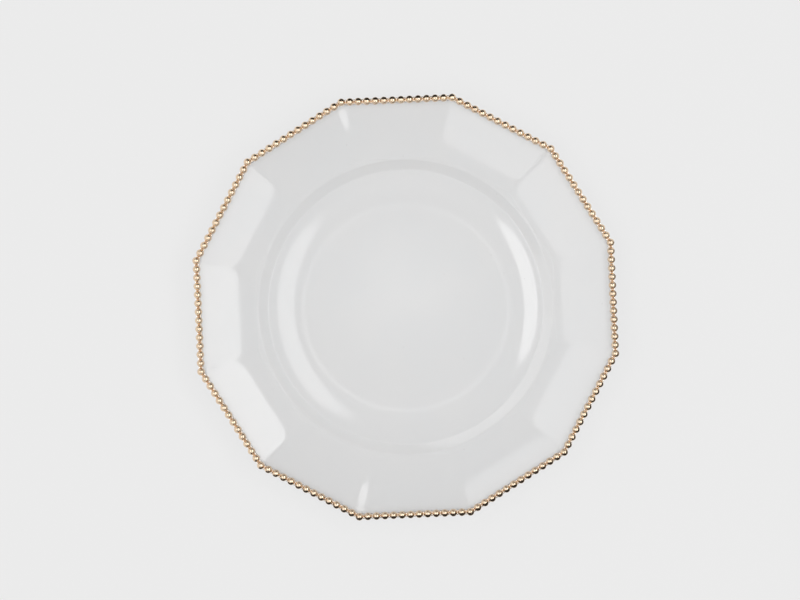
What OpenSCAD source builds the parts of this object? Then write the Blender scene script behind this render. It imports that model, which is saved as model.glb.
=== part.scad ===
// Twelve-sided charger plate: a white porcelain body with coved rim panels,
// a gold edge band seated on the rim, and a row of gold beads along every side.
// Millimetres, +Z up, origin at the centre of the foot on the table.

/* [Outline] */
// Distance across the flats, from bead centre to bead centre
bead_line_flats = 313.2; // [290:0.2:360]

/* [Well] */
// Thickness of the floor
floor_t = 4; // [3:0.1:6]
// Width of the cove between the flat floor and the crest ring
cove_w = 28.7; // [22:0.1:40]
// Radius of the cove that lifts the well from the floor
cove_r = 124; // [90:1:200]
// Rounding of the crest ring's top
crest_round = 0.9; // [0.4:0.05:1.5]
// Width of the crest ring's outer slope, down to the valley
fall_w = 7.6; // [4:0.1:12]
// Angle of that slope, in degrees
fall_slope = 22; // [8:1:24]
// Rounding of the valley between the crest ring and the rim
valley_round = 1.4; // [0.5:0.1:3]

/* [Rim] */
// Width of the rim from the valley to the bead line
rim_w = 44.8; // [25:0.1:60]
// Width of the flat land between the rounding of the valley and the rim panels
land_w = 1.05; // [0.6:0.05:3]
// Slope at which a rim panel leaves the land, in degrees
panel_slope = 13; // [6:1:18]
// Radius of the concave curve across each rim panel
panel_r = 270; // [220:1:500]
// Width of the level lip at the outer end of the rim panels
lip_w = 0.4; // [0.2:0.05:1]
// Thickness of the rim
wall_t = 4.4; // [3.8:0.1:6]
// Thickness of the rim's edge under the gold band
edge_t = 3.2; // [2.9:0.1:4.4]
// Rounding of the rim's lower outer edge
edge_round = 1.2; // [0.5:0.1:1.6]

/* [Foot] */
// Distance from the valley in to the foot ring's middle
foot_inset = 6; // [4:0.1:40]
// Width of the foot ring where it stands
foot_w = 4.5; // [3:0.1:7]
// Height of the floor's underside above the table
foot_h = 2.5; // [1.5:0.1:4]
// How far each side of the foot ring flares out where it joins the plate
foot_flare = 1.2; // [0.4:0.1:2]
// Rounding of the foot ring's edges
foot_round = 1.2; // [0.4:0.1:1.4]

/* [Gold edging] */
// Width of the edge band
band_w = 3.6; // [2.8:0.1:4.6]
// Thickness of the edge band
band_t = 2.4; // [2.1:0.1:3.5]
// Depth that the band sits below the lip
seat_depth = 1; // [0.5:0.1:1.3]
// Diameter of a bead
bead_d = 5.8; // [4:0.1:6]
// Smallest gap between two beads
bead_gap = 0.6; // [0.3:0.05:2]
// Depth that a bead sits in its cup
cup_depth = 1.7; // [0.8:0.1:1.9]
// Clearance for the bond round a bead and beside the band
bond_gap = 0.05; // [0.02:0.01:0.15]

/* [Hidden] */
$fn = 144;
bead_fn = 48;
sides = 12;
porcelain = "white";
gold = [0.87, 0.72, 0.5];
arc_chord = 1.5; // longest straight step along a rounding in the turned section
arc_steps = 4; // fewest steps of such a rounding
over = 1; // how far a cutting shape runs past what it cuts

// Outline of the edging
half_turn = 180 / sides;
bead_line = bead_line_flats / 2;
side_len = 2 * bead_line * tan(half_turn);
beads_per_side = floor(side_len / (bead_d + bead_gap));
bead_pitch = side_len / beads_per_side;
band_in = bead_line - band_w / 2;
band_out = bead_line + band_w / 2;
panel_end = band_in - bond_gap;

// Radii and heights of the well, from the valley inwards and the floor up
valley_r = bead_line - rim_w;
crest_r = valley_r - fall_w;
floor_r = crest_r - cove_w;
foot_r = valley_r - foot_inset;
floor_z = foot_h + floor_t;
cove_slope = asin((cove_w - crest_round) / cove_r);
cove_corner = floor_r + cove_r * tan(cove_slope / 2);
crest_z = snap(floor_z + cove_r * (1 - cos(cove_slope)) + crest_round * tan(cove_slope));
valley_z = snap(crest_z - fall_w * tan(fall_slope));

// Radii of the land: its start, the ring of it that well and rim share, and its end at the panels
land_start = valley_r + valley_round * tan(fall_slope / 2);
share_in = snap(land_start + land_w / 3);
share_out = snap(land_start + land_w * 2 / 3);
panel_start = snap(land_start + land_w);

// Heights of the rim and the edging
panel_axis = [panel_start - panel_r * sin(panel_slope), valley_z + panel_r * cos(panel_slope)];
lip_z = snap(panel_axis[1] - rise(panel_r, panel_end - lip_w));
rim_under = snap(panel_axis[1] - rise(panel_r + wall_t, panel_start));
seat_z = lip_z - seat_depth;
edge_z = seat_z - edge_t;
band_top = seat_z + band_t;
bead_z = band_top + bead_d / 2 - cup_depth;

function row_name(k) = str("bead_row_", k < 10 ? "0" : "", k);

// A length to the nearest hundredth of a millimetre
function snap(v) = round(v * 100) / 100;

// Drop from a panel curve's axis to the curve of radius r, at a distance d from the plate's centre
function rise(r, d) = sqrt(pow(r, 2) - pow(d - panel_axis[0], 2));

// Corners of a regular outline with the given distance from centre to flat
function outline(flat) = [
    for (k = [0:sides - 1])
        let (a = (2 * k - 1) * half_turn) flat / cos(half_turn) * [cos(a), sin(a)]
];

// Unit vector from one point to another
function toward(a, b) = (b - a) / norm(b - a);

// Points of the corner c between a and b, rounded to radius r
function corner(a, c, b, r) = r == 0 ? [c] : let (
    u = toward(c, a),
    v = toward(c, b),
    half = acos(u * v) / 2,
    centre = c + toward([0, 0], u + v) * r / sin(half),
    start = c + u * r / tan(half) - centre,
    sweep = (180 - 2 * half) * sign(cross(v, u)),
    steps = max(arc_steps, ceil(PI * r * abs(sweep) / 180 / arc_chord))
) [
    for (i = [0:steps])
        let (t = sweep * i / steps)
            centre + [start[0] * cos(t) - start[1] * sin(t), start[0] * sin(t) + start[1] * cos(t)]
];

// Closed section from its corners, each [r, z, rounding]
module section(p) {
    n = len(p);
    q = [for (c = p) [c[0], c[1]]];
    polygon([for (i = [0:n - 1]) each corner(q[(i + n - 1) % n], q[i], q[(i + 1) % n], p[i][2])]);
}

// Half section of the floor, the cove, the crest ring and the valley
module bowl_section() section([
    [0, foot_h, 0],
    [foot_r, foot_h, 0],
    [foot_r, rim_under, 0],
    [share_out, rim_under, 0],
    [share_out, valley_z, 0],
    [valley_r, valley_z, valley_round],
    [crest_r, crest_z, crest_round],
    [cove_corner, floor_z, cove_r],
    [0, floor_z, 0],
]);

// Half section of the foot ring, rooted halfway through the floor within it and the rim without
module foot_section() section([
    [foot_r - foot_w / 2, 0, foot_round],
    [foot_r + foot_w / 2, 0, foot_round],
    [foot_r + foot_w / 2 + foot_flare, rim_under + wall_t / 2, 0],
    [foot_r - foot_w / 2 - foot_flare, foot_h + floor_t / 2, 0],
]);

// What lies above a level and, towards one side, above a panel curve of radius r, up to a top
module above_panel(level, r, top) {
    translate([-band_out - over, level]) square([share_in + band_out + over, top - level]);
    intersection() {
        translate(panel_axis) circle(r);
        translate([0, level]) square([band_out, top - level]);
    }
}

// Section of the rim blank across one side: land, underside curve, thickened edge, seat and lip
module rim_section() {
    edge_in = band_out - edge_round;
    difference() {
        union() {
            above_panel(rim_under, panel_r + wall_t, lip_z);
            translate([panel_end, edge_z]) square([band_out - panel_end, edge_t + over]);
        }
        translate([panel_end, seat_z]) square([band_w + 2 * over, seat_depth + over]);
        difference() {
            translate([edge_in, edge_z - over]) square(edge_round + over);
            translate([edge_in, edge_z + edge_round]) circle(edge_round);
        }
    }
}

// Section of the space above one rim panel, with the level of the valley carried inwards
module dish_section() above_panel(valley_z, panel_r, lip_z + over);

// What lies within a section on every side of the plate
module every_side() {
    reach = band_out + over;
    intersection_for (k = [0:sides - 1])
        rotate(2 * k * half_turn)
            translate([0, reach, 0])
                rotate([90, 0, 0])
                    linear_extrude(2 * reach) children();
}

// White porcelain body: well, crest ring, twelve rim panels and foot ring
module plate_body() color(porcelain) {
    difference() {
        every_side() rim_section();
        every_side() dish_section();
        cylinder(r = share_in, h = valley_z + over);
    }
    rotate_extrude() {
        bowl_section();
        foot_section();
    }
}

// Places of one side's beads, from its first corner to the bead before the next
module bead_places(k) {
    rotate(2 * (k - 1) * half_turn)
        for (i = [0:beads_per_side - 1])
            translate([bead_line, i * bead_pitch - side_len / 2, bead_z]) children();
}

// Gold band on the rim's seat, with a cup for each bead
module edge_band() color(gold) difference() {
    translate([0, 0, seat_z]) linear_extrude(band_t) difference() {
        polygon(outline(band_out));
        polygon(outline(band_in));
    }
    for (k = [1:sides]) bead_places(k) sphere(bead_d / 2 + bond_gap, $fn = bead_fn);
}

// Gold beads of one side
module bead_row(k) color(gold) bead_places(k) sphere(d = bead_d, $fn = bead_fn);

plate_body();
edge_band();
for (k = [1:sides]) bead_row(k);
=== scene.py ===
import math
import bpy
import numpy as np
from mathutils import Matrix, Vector


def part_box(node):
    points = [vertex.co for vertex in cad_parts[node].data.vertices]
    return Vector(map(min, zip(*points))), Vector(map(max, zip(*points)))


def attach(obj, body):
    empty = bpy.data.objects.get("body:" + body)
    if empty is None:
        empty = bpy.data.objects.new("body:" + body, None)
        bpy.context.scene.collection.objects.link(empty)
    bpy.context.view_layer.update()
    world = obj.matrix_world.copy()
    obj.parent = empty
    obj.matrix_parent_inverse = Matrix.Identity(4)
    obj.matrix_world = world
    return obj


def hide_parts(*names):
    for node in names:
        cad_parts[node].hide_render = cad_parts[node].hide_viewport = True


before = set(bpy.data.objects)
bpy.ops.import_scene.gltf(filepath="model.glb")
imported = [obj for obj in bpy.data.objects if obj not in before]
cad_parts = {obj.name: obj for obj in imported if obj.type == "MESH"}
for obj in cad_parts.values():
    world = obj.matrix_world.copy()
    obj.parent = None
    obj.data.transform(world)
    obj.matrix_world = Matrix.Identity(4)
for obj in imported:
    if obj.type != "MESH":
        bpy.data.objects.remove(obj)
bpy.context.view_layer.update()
mm = 0.001  # sizes below are in millimetres unless their note says otherwise
print("frame loaded:", len(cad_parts), "nodes")

# shared measures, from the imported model
sides = 12
halfTurn = math.pi / sides
bodyHigh = np.array(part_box("plate_body")[1]) / mm
bandLow, bandHigh = (np.array(corner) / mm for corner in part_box("edge_band"))
rowLow, rowHigh = (np.array(corner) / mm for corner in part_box("bead_row_01"))
lipHeight = bodyHigh[2]  # level top of the rim's outer lip
rimReach = bodyHigh[0]  # centre to the middle of a side
seatHeight = bandLow[2]  # the ledge of the rim that carries the gold band
bandTop = bandHigh[2]
beadHeight = (rowLow[2] + rowHigh[2]) / 2  # height of the beads' centres


def sectionLine(corners):
    # a polyline of distances and heights whose corners are rounded: each corner is given as distance,
    # height, radius and steps, and one with a radius becomes an arc tangent to both legs, in even steps
    points = np.array([corner[:2] for corner in corners], float)
    pieces = [points[:1]]
    for i in range(1, len(points) - 1):
        radius, steps = corners[i][2:]
        if radius == 0:
            pieces.append(points[i:i + 1])
            continue
        back = points[i - 1] - points[i]
        ahead = points[i + 1] - points[i]
        back, ahead = back / np.hypot(*back), ahead / np.hypot(*ahead)
        half = math.acos(np.clip(back @ ahead, -1, 1)) / 2
        middle = (back + ahead) / np.hypot(*(back + ahead))
        centre = points[i] + middle * radius / math.sin(half)
        turn = np.linspace(-1, 1, steps + 1)[:, None] * (math.pi / 2 - half)
        across = (ahead - back) / np.hypot(*(ahead - back))
        pieces.append(centre + radius * (across * np.sin(turn) - middle * np.cos(turn)))
    pieces.append(points[-1:])
    return np.concatenate(pieces)


def panelArc(axis, radius, distances):
    # heights of a hollow curve at given distances: the axis height less the drop of the circle
    heights = axis[1] - np.sqrt(radius ** 2 - (distances - axis[0]) ** 2)
    return np.stack([distances, heights], axis=1)


def sideAngles(perSide, crowding):
    # angles round the plate, evenly many to a side and crowded towards the corners:
    # a share t of a side becomes t plus crowding times a sine of t
    share = np.arange(perSide) / perSide
    bunched = share - crowding * np.sin(2 * np.pi * share) / (2 * np.pi)
    return np.concatenate([(k - 0.5 + bunched) * 2 * halfTurn for k in range(sides)])


def roundedOutline(flat, rounding, angle):
    # distance from the centre to a twelve-sided outline with rounded corners:
    # the flat side where the angle is far from a corner, an arc of the given radius near it
    fromCorner = np.abs((angle % (2 * halfTurn)) - halfTurn)[None, :]
    flat, rounding = flat[:, None], np.minimum(rounding, flat)[:, None]
    arcCentre = (flat - rounding) / math.cos(halfTurn)
    arcEnd = np.arctan2(rounding * math.sin(halfTurn), arcCentre + rounding * math.cos(halfTurn))
    onSide = flat / np.cos(halfTurn - fromCorner)
    lift = np.sqrt(np.maximum(rounding ** 2 - (arcCentre * np.sin(fromCorner)) ** 2, 0))
    onArc = arcCentre * np.cos(fromCorner) + lift
    return np.where(fromCorner < arcEnd, onArc, onSide)


def gridFaces(rows, columns, closed=False):
    # quads between neighbouring rows of a grid whose columns run all the way round,
    # and from the last row back to the first where the section is closed
    row = np.arange(rows if closed else rows - 1)[:, None]
    here = np.arange(columns)[None, :]
    after = (here + 1) % columns
    start, nextRow = row * columns, (row + 1) % rows * columns
    quads = np.stack([start + here, nextRow + here, nextRow + after, start + after], axis=-1)
    return quads.reshape(-1, 4)


def poleFaces(row, columns, pole, upward):
    # a fan of triangles from one end row of a grid to its pole
    here = row * columns + np.arange(columns)
    after = row * columns + (np.arange(columns) + 1) % columns
    tip = np.full(columns, pole)
    return np.stack([here, after, tip] if upward else [after, here, tip], axis=-1)


def addObject(name, data):
    item = bpy.data.objects.new(name, data)
    bpy.context.scene.collection.objects.link(item)
    return item


def makePiece(name, points, faces, material, nodes):
    mesh = bpy.data.meshes.new(name)
    mesh.from_pydata((points * mm).tolist(), [], faces)
    mesh.polygons.foreach_set("use_smooth", np.ones(len(mesh.polygons), bool))
    mesh.materials.append(material)
    mesh.update()
    piece = addObject(name, mesh)
    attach(piece, "root")
    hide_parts(*nodes)
    print(name, "made:", len(points), "points,", len(faces), "faces")


def linkNodes(tree, *pairs):
    for source, target in pairs:
        tree.links.new(source, target)


def newMaterial(name):
    material = bpy.data.materials.new(name)
    material.use_nodes = True
    tree = material.node_tree
    return material, tree, tree.nodes["Principled BSDF"]


def newMatte(name, colour):
    # a plain dull surface, for what stands round the plate
    material, tree, shader = newMaterial(name)
    shader.inputs["Base Color"].default_value = colour
    shader.inputs["Roughness"].default_value = 1
    shader.inputs["Specular IOR Level"].default_value = 0
    return material, tree, shader


def mathNode(tree, operation, *fixed):
    # a Math node whose inputs after the first hold the given numbers
    node = tree.nodes.new("ShaderNodeMath")
    node.operation = operation
    for place, value in enumerate(fixed, 1):
        node.inputs[place].default_value = value
    return node


def smoothRange(tree, span, result=(0, 1)):
    # a smooth step from one result to the other across a span of values
    node = tree.nodes.new("ShaderNodeMapRange")
    node.interpolation_type = "SMOOTHSTEP"
    for label, value in zip(("From Min", "From Max", "To Min", "To Max"), (*span, *result)):
        node.inputs[label].default_value = value
    return node


def colourMix(tree, colour=None):
    # a mix of two colours, the second of them fixed where one is given
    node = tree.nodes.new("ShaderNodeMix")
    node.data_type = "RGBA"
    if colour:
        node.inputs["B"].default_value = colour
    return node


def newGroup(name, inputs, outputs):
    # an empty node group with its sockets: inputs as name, kind and default, outputs as name and kind
    group = bpy.data.node_groups.new(name, "ShaderNodeTree")
    for label, kind, value in inputs:
        socket = group.interface.new_socket(label, in_out="INPUT", socket_type=kind)
        socket.default_value = value
    for label, kind in outputs:
        group.interface.new_socket(label, in_out="OUTPUT", socket_type=kind)
    return group, group.nodes.new("NodeGroupInput"), group.nodes.new("NodeGroupOutput")


def placeGroup(tree, group, values):
    node = tree.nodes.new("ShaderNodeGroup")
    node.node_tree = group
    for label, value in values.items():
        node.inputs[label].default_value = value
    return node


def makeToneDrift():
    # a colour that drifts towards a second one in soft clouds
    group, given, result = newGroup(
        "toneDrift",
        [
            ("Colour", "NodeSocketColor", (0.8, 0.8, 0.8, 1)),
            ("Drift", "NodeSocketColor", (0.8, 0.8, 0.8, 1)),
            ("Scale", "NodeSocketFloat", 20),
            ("Amount", "NodeSocketFloat", 0.5),
        ],
        [("Colour", "NodeSocketColor"), ("Cloud", "NodeSocketFloat")],
    )
    nodes = group.nodes
    place = nodes.new("ShaderNodeTexCoord")
    clouds = nodes.new("ShaderNodeTexNoise")
    clouds.inputs["Detail"].default_value = 3
    spread = smoothRange(group, (0.35, 0.65))
    share = mathNode(group, "MULTIPLY")
    mix = colourMix(group)
    linkNodes(
        group,
        (place.outputs["Object"], clouds.inputs["Vector"]),
        (given.outputs["Scale"], clouds.inputs["Scale"]),
        (clouds.outputs["Fac"], spread.inputs["Value"]),
        (spread.outputs["Result"], share.inputs[0]),
        (given.outputs["Amount"], share.inputs[1]),
        (share.outputs[0], mix.inputs["Factor"]),
        (given.outputs["Colour"], mix.inputs["A"]),
        (given.outputs["Drift"], mix.inputs["B"]),
        (mix.outputs["Result"], result.inputs["Colour"]),
        (spread.outputs["Result"], result.inputs["Cloud"]),
    )
    return group


def makeHeightMask():
    # one below a height and nothing above it, with a soft edge
    group, given, result = newGroup(
        "heightMask",
        [("Level", "NodeSocketFloat", 0.0), ("Softness", "NodeSocketFloat", 0.001)],
        [("Mask", "NodeSocketFloat")],
    )
    nodes = group.nodes
    place = nodes.new("ShaderNodeTexCoord")
    parts = nodes.new("ShaderNodeSeparateXYZ")
    above = mathNode(group, "SUBTRACT")
    scaled = mathNode(group, "DIVIDE")
    below = smoothRange(group, (-0.5, 0.5), (1, 0))
    linkNodes(
        group,
        (place.outputs["Object"], parts.inputs["Vector"]),
        (parts.outputs["Z"], above.inputs[0]),
        (given.outputs["Level"], above.inputs[1]),
        (above.outputs[0], scaled.inputs[0]),
        (given.outputs["Softness"], scaled.inputs[1]),
        (scaled.outputs[0], below.inputs["Value"]),
        (below.outputs["Result"], result.inputs["Mask"]),
    )
    return group


def makeFineRipple():
    # a height of gentle waves with fine grain on them
    group, given, result = newGroup(
        "fineRipple",
        [
            ("Wave Scale", "NodeSocketFloat", 60),
            ("Grain Scale", "NodeSocketFloat", 900),
            ("Grain Share", "NodeSocketFloat", 0.1),
        ],
        [("Height", "NodeSocketFloat")],
    )
    nodes = group.nodes
    place = nodes.new("ShaderNodeTexCoord")
    waves = nodes.new("ShaderNodeTexNoise")
    waves.inputs["Detail"].default_value = 1
    grain = nodes.new("ShaderNodeTexNoise")
    grain.inputs["Detail"].default_value = 2
    total = mathNode(group, "MULTIPLY_ADD")
    linkNodes(
        group,
        (place.outputs["Object"], waves.inputs["Vector"]),
        (place.outputs["Object"], grain.inputs["Vector"]),
        (given.outputs["Wave Scale"], waves.inputs["Scale"]),
        (given.outputs["Grain Scale"], grain.inputs["Scale"]),
        (grain.outputs["Fac"], total.inputs[0]),
        (given.outputs["Grain Share"], total.inputs[1]),
        (waves.outputs["Fac"], total.inputs[2]),
        (total.outputs[0], result.inputs["Height"]),
    )
    return group


toneDrift = makeToneDrift()
heightMask = makeHeightMask()
fineRipple = makeFineRipple()


def placeDrift(tree, colour, drift, look):
    return placeGroup(tree, toneDrift, {
        "Colour": colour,
        "Drift": drift,
        "Scale": look["cloudScale"],
        "Amount": look["cloudAmount"],
    })


def placeGloss(tree, smooth, dull):
    # roughness from a smooth value to a duller one
    gloss = tree.nodes.new("ShaderNodeMapRange")
    gloss.inputs["To Min"].default_value = smooth
    gloss.inputs["To Max"].default_value = dull
    return gloss


def addRipple(tree, shader, look):
    # the waves and grain of a surface, as a slight bump
    ripple = placeGroup(tree, fineRipple, {
        "Wave Scale": look["waveScale"],
        "Grain Scale": look["grainScale"],
        "Grain Share": look["grainShare"],
    })
    bump = tree.nodes.new("ShaderNodeBump")
    bump.inputs["Strength"].default_value = look["rippleStrength"]
    bump.inputs["Distance"].default_value = look["rippleDepth"]
    linkNodes(
        tree,
        (ripple.outputs["Height"], bump.inputs["Height"]),
        (bump.outputs["Normal"], shader.inputs["Normal"]),
    )


# glossy white glaze, left off the flat of the foot ring that stands on the table
porcelainLook = {
    "white": (0.78, 0.78, 0.78, 1),
    "cooler": (0.766, 0.771, 0.776, 1),
    "bisque": (0.74, 0.72, 0.68, 1),
    "cloudScale": 22,  # clouds a metre
    "cloudAmount": 0.6,
    "glossRoughness": 0.05,
    "dullRoughness": 0.075,
    "bareRoughness": 0.6,
    "bareLevel": 0.00035,  # metres above the table
    "bareSoftness": 0.0003,  # metres
    "ior": 1.5,
    "waveScale": 45,
    "grainScale": 1400,
    "grainShare": 0.02,
    "rippleDepth": 0.00012,  # metres
    "rippleStrength": 0.1,
    "speckScale": 330,
    "speckChance": 0.009,
    "speckSize": 0.16,
    "speckColour": (0.3, 0.28, 0.26, 1),
    "speckDarkness": 0.14,
}


def makePorcelain(look):
    material, tree, shader = newMaterial("glazedPorcelain")
    nodes = tree.nodes
    drift = placeDrift(tree, look["white"], look["cooler"], look)
    bare = placeGroup(tree, heightMask, {"Level": look["bareLevel"], "Softness": look["bareSoftness"]})
    # a few tiny specks in the glaze: small dots at the middles of rare cells
    place = nodes.new("ShaderNodeTexCoord")
    cells = nodes.new("ShaderNodeTexVoronoi")
    cells.inputs["Scale"].default_value = look["speckScale"]
    dot = mathNode(tree, "LESS_THAN", look["speckSize"])
    cellTone = nodes.new("ShaderNodeSeparateColor")
    rare = mathNode(tree, "LESS_THAN", look["speckChance"])
    speck = mathNode(tree, "MULTIPLY")
    faint = mathNode(tree, "MULTIPLY", look["speckDarkness"])
    specked = colourMix(tree, look["speckColour"])
    coloured = colourMix(tree, look["bisque"])
    gloss = placeGloss(tree, look["glossRoughness"], look["dullRoughness"])
    rough = nodes.new("ShaderNodeMix")
    rough.inputs["B"].default_value = look["bareRoughness"]
    shader.inputs["IOR"].default_value = look["ior"]
    addRipple(tree, shader, look)
    linkNodes(
        tree,
        (place.outputs["Object"], cells.inputs["Vector"]),
        (cells.outputs["Distance"], dot.inputs[0]),
        (cells.outputs["Color"], cellTone.inputs["Color"]),
        (cellTone.outputs["Red"], rare.inputs[0]),
        (dot.outputs[0], speck.inputs[0]),
        (rare.outputs[0], speck.inputs[1]),
        (speck.outputs[0], faint.inputs[0]),
        (faint.outputs[0], specked.inputs["Factor"]),
        (drift.outputs["Colour"], specked.inputs["A"]),
        (bare.outputs["Mask"], coloured.inputs["Factor"]),
        (specked.outputs["Result"], coloured.inputs["A"]),
        (coloured.outputs["Result"], shader.inputs["Base Color"]),
        (drift.outputs["Cloud"], gloss.inputs["Value"]),
        (bare.outputs["Mask"], rough.inputs["Factor"]),
        (gloss.outputs["Result"], rough.inputs["A"]),
        (rough.outputs["Result"], shader.inputs["Roughness"]),
    )
    return material


# polished pale gold of the beads and the band, with a painted pale sheen low down between the beads
goldLook = {
    "colour": (0.88, 0.70, 0.51, 1),
    "drift": (0.86, 0.66, 0.48, 1),
    # a paler gold painted low down between the beads: a painted sheen standing in for light there
    "paintedSheen": (0.96, 0.89, 0.82, 1),
    "cloudScale": 70,
    "cloudAmount": 0.8,
    "polishedRoughness": 0.10,
    "handledRoughness": 0.19,
    "paintedSheenRise": 0.4,  # above the band's top
    "paintedSheenSoftness": 1.6,
    "waveScale": 700,
    "grainScale": 5000,
    "grainShare": 0.2,
    "rippleDepth": 0.00006,  # metres
    "rippleStrength": 0.15,
}


def makeGold(look):
    material, tree, shader = newMaterial("paleGold")
    drift = placeDrift(tree, look["colour"], look["drift"], look)
    # below a little above the band's top the gold is painted paler: a painted sheen between the beads
    paintedSheenMask = placeGroup(tree, heightMask, {
        "Level": (bandTop + look["paintedSheenRise"]) * mm,
        "Softness": look["paintedSheenSoftness"] * mm,
    })
    coloured = colourMix(tree, look["paintedSheen"])
    gloss = placeGloss(tree, look["polishedRoughness"], look["handledRoughness"])
    shader.inputs["Metallic"].default_value = 1
    addRipple(tree, shader, look)
    linkNodes(
        tree,
        (paintedSheenMask.outputs["Mask"], coloured.inputs["Factor"]),
        (drift.outputs["Colour"], coloured.inputs["A"]),
        (coloured.outputs["Result"], shader.inputs["Base Color"]),
        (drift.outputs["Cloud"], gloss.inputs["Value"]),
        (gloss.outputs["Result"], shader.inputs["Roughness"]),
    )
    return material


porcelain = makePorcelain(porcelainLook)
gold = makeGold(goldLook)
print("materials made")

# the porcelain body: one section carried round the plate, from the middle of the well
# over the crest ring and the rim and back under the foot ring
plateBody = {
    "columnsPerSide": 36,
    "crowding": 0.8,
    "floorRadius": 75.5,
    "floorHeight": 6.5,
    "floorRows": (4, 16, 36, 56),  # distances of the rows on the flat floor
    "coveRadius": 124,
    "crestRadius": 104.2,
    "crestRounding": 0.9,  # sets how far the cove runs
    "crestSoftness": 1.6,  # rounding of the glazed crest
    "valleyRadius": 111.8,
    "fallSlope": 22,  # degrees, down from the crest to the valley
    "valleySoftness": 2.8,  # rounding of the glazed valley
    "landEnd": 113.12,
    "landRows": (0.15, 0.35, 0.55),  # shares of the way across the land
    "landRounding": 2.5,
    "panelSlope": 13,  # degrees, where a panel leaves the land
    "panelRadius": 270,
    "panelEnd": 154.75,
    "panelRows": 44,
    "lipWidth": 0.4,
    "lipRounding": 0.12,
    "wall": 4.4,
    "underRows": 22,
    "underLead": 1,  # how far the underside's curve stops short of the thick edge
    "seatRounding": 0.3,
    "edgeThickness": 3.2,
    "edgeRounding": 1.2,
    "underRounding": 1.5,
    "footRadius": 105.8,
    "footWidth": 4.5,
    "footHeight": 2.5,
    "footSide": 0.6,  # how far a side of the foot ring leans out on its way up
    "footRounding": 1.2,
    "footFillet": 0.8,
    "baseRows": (80, 56, 30, 4),  # distances of the rows on the flat underside
    "creaseRounding": (14, 32),  # where a crease leaves the land and where it nears the rim's edge
    "creaseTaper": 3,  # length over which a crease sharpens into the rim's edge
    "taperPower": 0.5,
    "edgeCornerRounding": 1.5,
}


def makePlateBody(size, material):
    floorHeight, footHeight = size["floorHeight"], size["footHeight"]
    crestRadius, landEnd, panelEnd = size["crestRadius"], size["landEnd"], size["panelEnd"]
    coveSlope = math.asin((crestRadius - size["crestRounding"] - size["floorRadius"]) / size["coveRadius"])
    coveCorner = size["floorRadius"] + size["coveRadius"] * math.tan(coveSlope / 2)
    coveRise = size["coveRadius"] * (1 - math.cos(coveSlope))
    crestHeight = floorHeight + coveRise + size["crestRounding"] * math.tan(coveSlope)
    fall = (size["valleyRadius"] - crestRadius) * math.tan(math.radians(size["fallSlope"]))
    valleyHeight = crestHeight - fall
    landStart = size["valleyRadius"] + size["valleySoftness"] * math.tan(math.radians(size["fallSlope"]) / 2)
    panelSlope = math.radians(size["panelSlope"])
    panelAxis = (
        landEnd - size["panelRadius"] * math.sin(panelSlope),
        valleyHeight + size["panelRadius"] * math.cos(panelSlope),
    )
    panel = panelArc(
        panelAxis, size["panelRadius"],
        np.linspace(landEnd + size["landRounding"], panelEnd - size["lipWidth"], size["panelRows"]),
    )
    well = sectionLine([
        *[(row, floorHeight, 0, 0) for row in size["floorRows"]],
        (coveCorner, floorHeight, size["coveRadius"], 48),
        (crestRadius, crestHeight, size["crestSoftness"], 10),
        (size["valleyRadius"], valleyHeight, size["valleySoftness"], 10),
        *[(landStart + row * (landEnd - landStart), valleyHeight, 0, 0) for row in size["landRows"]],
        (landEnd, valleyHeight, size["landRounding"], 6),
        panel[0],
    ])[:-1]
    underRadius = size["panelRadius"] + size["wall"]
    edgeLow = seatHeight - size["edgeThickness"]
    underEnd = panelAxis[0] + math.sqrt(underRadius ** 2 - (panelAxis[1] - edgeLow) ** 2)
    under = panelArc(
        panelAxis, underRadius,
        np.linspace(underEnd - size["underLead"], landEnd, size["underRows"]),
    )
    rimUnder = under[-1, 1]
    edge = sectionLine([
        panel[-2],
        (panelEnd - size["lipWidth"], lipHeight, size["lipRounding"], 2),
        (panelEnd, lipHeight, size["lipRounding"], 3),
        (panelEnd, seatHeight, 0, 0),
        (rimReach, seatHeight, size["seatRounding"], 3),
        (rimReach, edgeLow, size["edgeRounding"], 6),
        (underEnd, edgeLow, size["underRounding"], 4),
        under[0],
    ])[1:-1]
    footIn = size["footRadius"] - size["footWidth"] / 2
    footOut = size["footRadius"] + size["footWidth"] / 2
    below = sectionLine([
        under[-2],
        (landEnd, rimUnder, size["underRounding"], 4),
        (footOut + size["footSide"], rimUnder, size["footFillet"], 4),
        (footOut, 0, size["footRounding"], 6),
        (footIn, 0, size["footRounding"], 6),
        (footIn - size["footSide"], footHeight, size["footFillet"], 4),
        *[(row, footHeight, 0, 0) for row in size["baseRows"]],
    ])[1:]
    panel, under = panel[:-1], under[:-1]
    line = np.concatenate([well, panel, edge, under, below])
    # across the level land the outline goes from a circle to twelve sides, and the rim's edge
    # has crisper corners than the creases between the panels
    growth = np.clip((line[:, 0] - landStart) / (landEnd - landStart), 0, 1)
    outward = np.clip((line[:, 0] - landEnd) / (panelEnd - landEnd), 0, 1)
    corner = np.interp(outward, (0, 1), size["creaseRounding"])
    taper = np.clip((panelEnd - line[:, 0]) / size["creaseTaper"], 0, 1) ** size["taperPower"]
    corner = size["edgeCornerRounding"] + (corner - size["edgeCornerRounding"]) * taper
    rounding = corner + (line[:, 0] - corner) * (1 - growth)
    angle = sideAngles(size["columnsPerSide"], size["crowding"])
    distance = roundedOutline(line[:, 0], rounding, angle)
    grid = np.stack([
        distance * np.cos(angle),
        distance * np.sin(angle),
        np.broadcast_to(line[:, 1:], distance.shape),
    ], axis=-1)
    rows, columns = distance.shape
    poles = [[0, 0, floorHeight], [0, 0, footHeight]]
    points = np.concatenate([grid.reshape(-1, 3), poles])
    faces = gridFaces(rows, columns).tolist()
    faces += poleFaces(0, columns, rows * columns, True).tolist()
    faces += poleFaces(rows - 1, columns, rows * columns + 1, False).tolist()
    makePiece("porcelainBody", points, faces, material, ["plate_body"])


makePlateBody(plateBody, porcelain)

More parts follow.
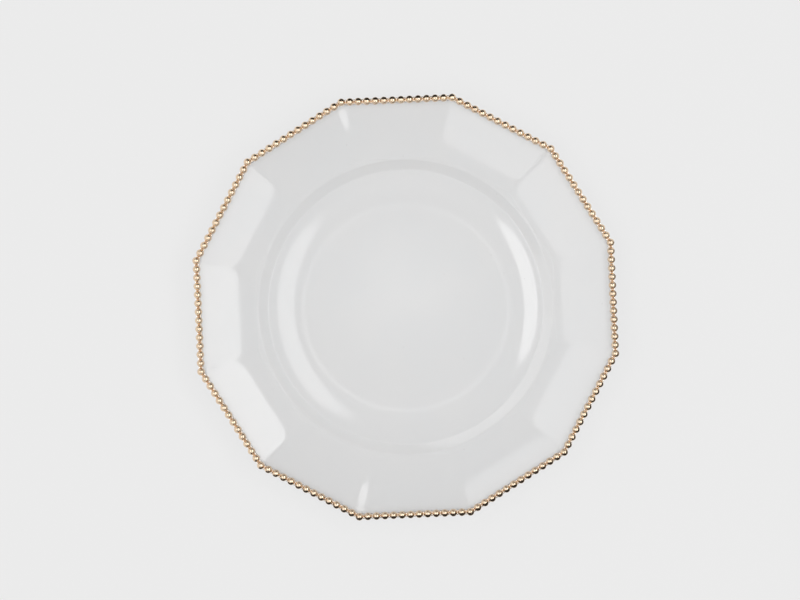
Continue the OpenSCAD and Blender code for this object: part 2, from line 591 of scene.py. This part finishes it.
# the gold band on the rim's seat: a softened bar round the plate, hollowed under each bead
goldBand = {
    "beadsPerSide": 13,
    "columnsPerBead": 14,
    "topRounding": 0.45,
    "bottomRounding": 0.3,
    "topRows": 9,
    "cupGap": 0.05,
}


def makeGoldBand(size, material):
    bandOut = bandHigh[0]
    beadLine = (rowLow[0] + rowHigh[0]) / 2
    beadRadius = (rowHigh[2] - rowLow[2]) / 2
    bandIn = 2 * beadLine - bandOut
    sideLength = 2 * beadLine * math.tan(halfTurn)
    perSide = size["beadsPerSide"] * size["columnsPerBead"]
    across = np.linspace(bandIn + size["topRounding"], bandOut - size["topRounding"], size["topRows"])
    line = sectionLine([
        (beadLine, seatHeight),
        (bandIn, seatHeight, size["bottomRounding"], 3),
        (bandIn, bandTop, size["topRounding"], 4),
        *[(place, bandTop, 0, 0) for place in across[1:-1]],
        (bandOut, bandTop, size["topRounding"], 4),
        (bandOut, seatHeight, size["bottomRounding"], 3),
        (beadLine, seatHeight),
    ])[:-1]
    # columns run along each side, mitred at the corners, and every column knows its nearest bead
    step = np.arange(perSide)
    along = step / perSide * sideLength - sideLength / 2
    nearest = np.round(step / size["columnsPerBead"]) / size["beadsPerSide"] * sideLength - sideLength / 2
    turn = np.repeat(np.arange(sides) * 2 * halfTurn, perSide)
    outward = np.stack([np.cos(turn), np.sin(turn)], axis=1)
    sideways = np.stack([-np.sin(turn), np.cos(turn)], axis=1)
    along, nearest = np.tile(along, sides)[:, None], np.tile(nearest, sides)[:, None]
    beads = beadLine * outward + nearest * sideways
    flat = line[:, 0][:, None, None] * (outward + along / beadLine * sideways)[None]
    # the cup under a bead: the lower half of a sphere a little larger than the bead
    reach = np.hypot(*np.moveaxis(flat - beads[None], -1, 0))
    cupRadius = beadRadius + size["cupGap"]
    cup = beadHeight - np.sqrt(np.maximum(cupRadius ** 2 - reach ** 2, 0))
    height = np.minimum(line[:, 1][:, None], np.where(reach < cupRadius, cup, bandTop))
    points = np.concatenate([flat, height[..., None]], axis=-1)
    rows, columns = height.shape
    faces = gridFaces(rows, columns, closed=True).tolist()
    makePiece("goldBand", points.reshape(-1, 3), faces, material, ["edge_band"])


makeGoldBand(goldBand, gold)

for name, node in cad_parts.items():
    if name.startswith("bead_row"):
        node.data.materials.clear()
        node.data.materials.append(gold)
        node.data.polygons.foreach_set("use_smooth", np.ones(len(node.data.polygons), bool))
print("beads gilded")

# the table: pale for the camera and in reflections, and still dimmed by the plate's shadow
tableLook = {
    "reach": 9000,
    "pale": (0.843, 0.843, 0.843, 1),
    "shadowShare": 0.15,  # how much of what the camera sees is lit by the lamps
}


def makeTable(look):
    mesh = bpy.data.meshes.new("tableTop")
    corners = np.array([(-1, -1, 0), (1, -1, 0), (1, 1, 0), (-1, 1, 0)]) * look["reach"] * mm
    mesh.from_pydata(corners.tolist(), [], [(0, 1, 2, 3)])
    table = addObject("tableTop", mesh)
    material, tree, shader = newMatte("paleTable", look["pale"])
    nodes = tree.nodes
    glow = nodes.new("ShaderNodeEmission")
    glow.inputs["Color"].default_value = look["pale"]
    path = nodes.new("ShaderNodeLightPath")
    seen = mathNode(tree, "MAXIMUM")
    seenThrough = mathNode(tree, "MAXIMUM")
    share = mathNode(tree, "MULTIPLY", 1 - look["shadowShare"])
    mix = nodes.new("ShaderNodeMixShader")
    linkNodes(
        tree,
        (path.outputs["Is Camera Ray"], seen.inputs[0]),
        (path.outputs["Is Glossy Ray"], seen.inputs[1]),
        (seen.outputs[0], seenThrough.inputs[0]),
        (path.outputs["Is Transmission Ray"], seenThrough.inputs[1]),
        (seenThrough.outputs[0], share.inputs[0]),
        (share.outputs[0], mix.inputs["Fac"]),
        (shader.outputs["BSDF"], mix.inputs[1]),
        (glow.outputs["Emission"], mix.inputs[2]),
        (mix.outputs["Shader"], nodes["Material Output"].inputs["Surface"]),
    )
    mesh.materials.append(material)


makeTable(tableLook)
print("table made")

# the camera hangs straight above the plate
cameraPlace = {
    "imageWidth": 800,  # pixels
    "imageHeight": 600,
    "platePixel": (405.8, 307.1),  # where the plate's centre falls in the picture
    "scale": 0.755,  # millimetres a pixel at the beads
    "rise": 3000,  # above the beads
    "turn": -2.525,  # degrees about the vertical
    "sensor": 36,
    "clipEnd": 30000,
}


def makeCamera(place):
    data = bpy.data.cameras.new("overhead")
    data.sensor_width = place["sensor"]
    data.lens = place["rise"] / place["scale"] * place["sensor"] / place["imageWidth"]
    data.clip_end = place["clipEnd"] * mm
    camera = addObject("overhead", data)
    turn = math.radians(place["turn"])
    right = (place["imageWidth"] / 2 - place["platePixel"][0]) * place["scale"]
    up = (place["platePixel"][1] - place["imageHeight"] / 2) * place["scale"]
    camera.location = Vector((
        right * math.cos(turn) - up * math.sin(turn),
        right * math.sin(turn) + up * math.cos(turn),
        beadHeight + place["rise"],
    )) * mm
    camera.rotation_euler = (0, 0, turn)
    bpy.context.scene.camera = camera


makeCamera(cameraPlace)

# soft studio light from far off, each lamp by its compass angle, the span of its angle from
# straight above, its width, its brightness, its squareness (2 is an ellipse, much more is a
# rectangle) and the share of its half width that fades at its edge
lampDistance = 6000
lowBox = {"width": 1800, "squareness": 8, "fade": 0.08}
arcBox = {"span": (43.5, 52), "width": 2300, "squareness": 6, "fade": 0.2}
glintBox = {"squareness": 3, "fade": 0.3}
softBoxes = {
    "rightUpper": {
        "azimuth": 6, "span": (5, 18.4), "width": 3100, "radiance": 2.4, "squareness": 2.5, "fade": 0.3,
    },
    "leftUpper": {
        "azimuth": 186, "span": (10.2, 20.3), "width": 2200, "radiance": 3.7, "squareness": 2.3, "fade": 0.15,
    },
    "rightLowFront": {**lowBox, "azimuth": -30, "span": (28.7, 43), "radiance": 2.45},
    "rightLow": {**lowBox, "azimuth": 0, "span": (27.9, 43), "radiance": 3.4},
    "rightLowBack": {**lowBox, "azimuth": 30, "span": (28.4, 43), "radiance": 3.9},
    "leftLowCorner": {**lowBox, "azimuth": 120, "span": (32.3, 43), "radiance": 1.53},
    "leftLowBack": {**lowBox, "azimuth": 150, "span": (26.7, 43), "radiance": 1.85},
    "leftLow": {**lowBox, "azimuth": 180, "span": (24.5, 43), "radiance": 1.42},
    "leftLowFront": {**lowBox, "azimuth": 208, "span": (24.5, 43), "width": 1650, "radiance": 1.53},
    "leftLowEnd": {**lowBox, "azimuth": 243, "span": (27, 43), "width": 1600, "radiance": 1.43},
    "frontArcLeft": {**arcBox, "azimuth": -72, "radiance": 1.5},
    "frontArc": {**arcBox, "azimuth": -46, "radiance": 1.8},
    "frontArcRight": {**arcBox, "azimuth": -20, "radiance": 1.6},
    "frontArcEnd": {**arcBox, "azimuth": 6, "radiance": 1},
    "frontHigh": {
        "azimuth": 268, "span": (4, 27), "width": 3600, "radiance": 0.35, "squareness": 2, "fade": 0.8,
    },
    "overhead": {
        "azimuth": 90, "span": (-1.9, 2.7), "width": 560, "radiance": 1.3, "squareness": 2, "fade": 1,
    },
    "backGlint": {**glintBox, "azimuth": 73, "span": (29.5, 38), "width": 1050, "radiance": 3.2},
    "frontGlint": {**glintBox, "azimuth": 288, "span": (32, 41), "width": 950, "radiance": 3},
}


def fadeEdges(data, squareness, fade):
    # the lamp is full in its middle and dims at its rounded edge: the distances from its middle,
    # as shares of the half width and half height, are joined by a power mean, and the light falls
    # smoothly to nothing as that nears one
    data.use_nodes = True
    tree = data.node_tree
    nodes = tree.nodes
    place = nodes.new("ShaderNodeNewGeometry")
    parts = nodes.new("ShaderNodeSeparateXYZ")
    tree.links.new(place.outputs["Parametric"], parts.inputs["Vector"])
    powers = []
    for axis in "XY":
        centred = mathNode(tree, "MULTIPLY_ADD", 2, -1)
        size = mathNode(tree, "ABSOLUTE")
        power = mathNode(tree, "POWER", squareness)
        linkNodes(
            tree,
            (parts.outputs[axis], centred.inputs[0]),
            (centred.outputs[0], size.inputs[0]),
            (size.outputs[0], power.inputs[0]),
        )
        powers.append(power)
    total = mathNode(tree, "ADD")
    outward = mathNode(tree, "POWER", 1 / squareness)
    ramp = smoothRange(tree, (1 - fade, 1), (1, 0))
    linkNodes(
        tree,
        (powers[0].outputs[0], total.inputs[0]),
        (powers[1].outputs[0], total.inputs[1]),
        (total.outputs[0], outward.inputs[0]),
        (outward.outputs[0], ramp.inputs["Value"]),
        (ramp.outputs["Result"], nodes["Emission"].inputs["Strength"]),
    )


def makeSoftBox(name, box):
    near, far = box["span"]
    azimuth, zenith = math.radians(box["azimuth"]), math.radians((near + far) / 2)
    data = bpy.data.lights.new(name, "AREA")
    data.shape = "RECTANGLE"
    data.size = box["width"] * mm
    data.size_y = 2 * lampDistance * math.tan(math.radians(far - near) / 2) * mm
    data.energy = box["radiance"] * math.pi * data.size * data.size_y
    fadeEdges(data, box["squareness"], box["fade"])
    lamp = addObject(name, data)
    toLamp = Vector((
        math.sin(zenith) * math.cos(azimuth),
        math.sin(zenith) * math.sin(azimuth),
        math.cos(zenith),
    ))
    lamp.location = toLamp * lampDistance * mm
    lamp.rotation_euler = toLamp.to_track_quat("Z", "Y").to_euler()
    lamp.visible_camera = False


for name, box in softBoxes.items():
    makeSoftBox(name, box)

# a grey room: each of its greys counts by a power of the direction's share towards it, as grey and power
roomLook = {
    "up": (0.44, 6),
    "right": (0.53, 2),
    "left": (1.02, 2),
    "front": (0.7, 3),
    "back": (0.6, 3),
}


def makeRoom(look):
    world = bpy.data.worlds.new("greyRoom")
    world.use_nodes = True
    tree = world.node_tree
    nodes = tree.nodes
    place = nodes.new("ShaderNodeTexCoord")
    parts = nodes.new("ShaderNodeSeparateXYZ")
    tree.links.new(place.outputs["Generated"], parts.inputs["Vector"])
    total = None
    walls = {"up": ("Z", 1), "right": ("X", 1), "left": ("X", -1), "front": ("Y", -1), "back": ("Y", 1)}
    for label, (axis, sign) in walls.items():
        grey, power = look[label]
        towards = mathNode(tree, "MULTIPLY", sign)
        towards.use_clamp = True
        raised = mathNode(tree, "POWER", power)
        weighed = mathNode(tree, "MULTIPLY_ADD", grey, 0)
        linkNodes(
            tree,
            (parts.outputs[axis], towards.inputs[0]),
            (towards.outputs[0], raised.inputs[0]),
            (raised.outputs[0], weighed.inputs[0]),
        )
        if total:
            tree.links.new(total, weighed.inputs[2])
        total = weighed.outputs[0]
    tree.links.new(total, nodes["Background"].inputs["Strength"])
    nodes["Background"].inputs["Color"].default_value = (1, 1, 1, 1)
    bpy.context.scene.world = world


makeRoom(roomLook)

# dark cards that stand on the table round the plate and show only in reflections, each by its
# compass angle, its distance from the middle, its span along the side it faces and its height
nearCard = {"place": 182, "span": (-48, 48)}
darkCards = {
    "backCard": {"azimuth": 90, "place": 238, "span": (-150, 150), "height": 146},
    "frontCard": {"azimuth": 270, "place": 228, "span": (-130, 420), "height": 132},
    "nearRight": {**nearCard, "azimuth": 0, "height": 22},
    "nearBack": {**nearCard, "azimuth": 90, "height": 50},
    "nearFrontLeft": {**nearCard, "azimuth": 240, "height": 35},
    "nearFront": {**nearCard, "azimuth": 270, "height": 74},
    "nearFrontRight": {**nearCard, "azimuth": 300, "height": 70},
    "nearRightFront": {**nearCard, "azimuth": 330, "height": 34},
}
cardTone = (0.05, 0.05, 0.05, 1)


def makeDarkCard(name, card, material):
    # a rectangle square to the direction of its compass angle
    turn = math.radians(card["azimuth"])
    outward, sideways = (math.cos(turn), math.sin(turn), 0), (-math.sin(turn), math.cos(turn), 0)
    near, far = card["span"]
    corners = np.array([(near, 0), (far, 0), (far, card["height"]), (near, card["height"])], float)
    points = corners @ np.array([sideways, (0, 0, 1)]) + card["place"] * np.array(outward)
    mesh = bpy.data.meshes.new(name)
    mesh.from_pydata((points * mm).tolist(), [], [(0, 1, 2, 3)])
    mesh.materials.append(material)
    piece = addObject(name, mesh)
    piece.visible_camera = piece.visible_diffuse = piece.visible_shadow = False


def makeDarkCards(cards, tone):
    material, tree, shader = newMatte("darkCard", tone)
    for name, card in cards.items():
        makeDarkCard(name, card, material)


makeDarkCards(darkCards, cardTone)
bpy.context.scene.view_settings.view_transform = "Standard"
print("camera, lamps and room made")
